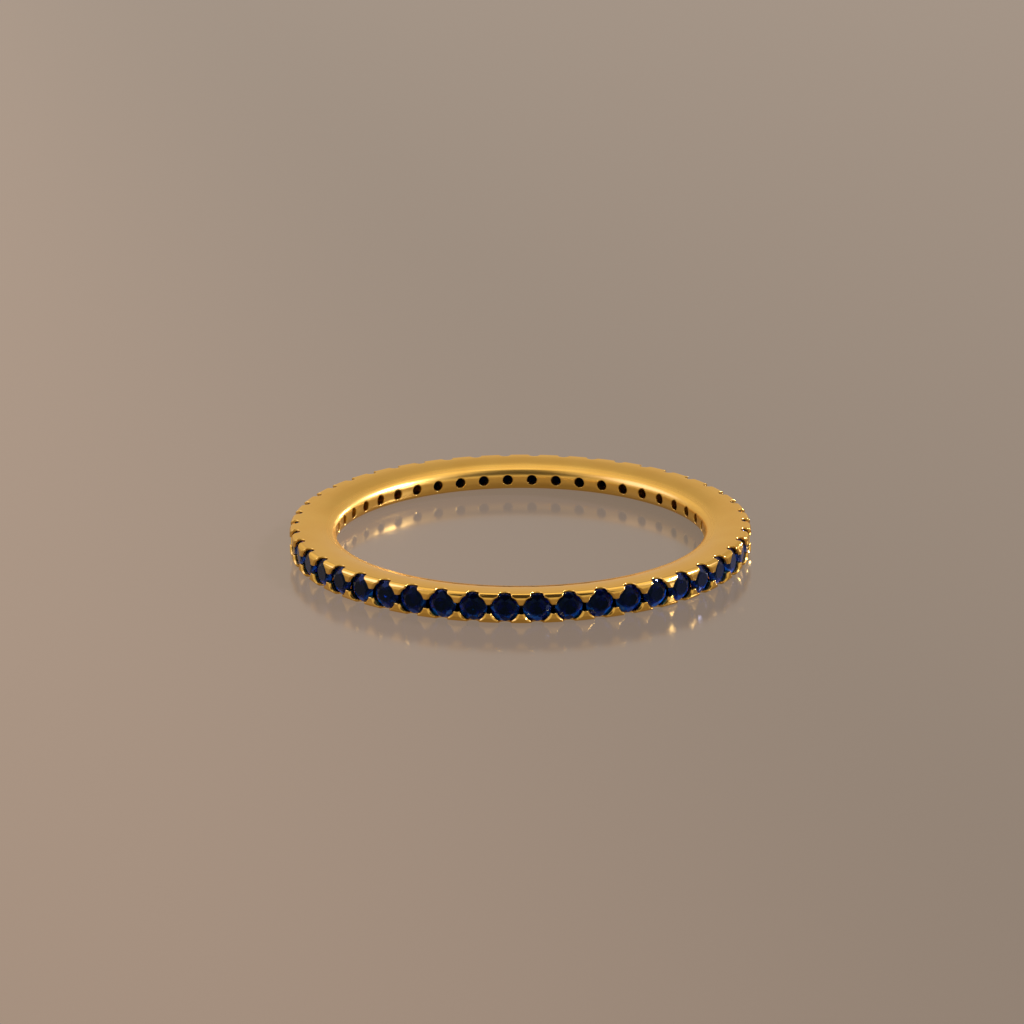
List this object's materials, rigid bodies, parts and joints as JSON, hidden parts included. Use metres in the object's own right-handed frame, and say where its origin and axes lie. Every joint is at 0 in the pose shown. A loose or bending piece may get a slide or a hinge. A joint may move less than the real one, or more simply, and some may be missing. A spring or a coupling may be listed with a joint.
{
  "type": "eternity ring",
  "caption": "Slim round gold band with small round blue stones set all the way round its outside in shared prongs; worn on a finger.",
  "frame": {"origin": "on the ring's axis, at the level of the side face that it lies on", "axes": "+Z is the ring's axis, from the side face that it lies on to the other one; -Y points at a place midway between two stones"},
  "size_m": [0.0216, 0.0216, 0.0014],
  "materials": {
    "gold": "polished",
    "blue_stone": "polished"
  },
  "bodies": {
    "root": {"band": "gold", "stones": "blue_stone"}
  },
  "joints": []
}
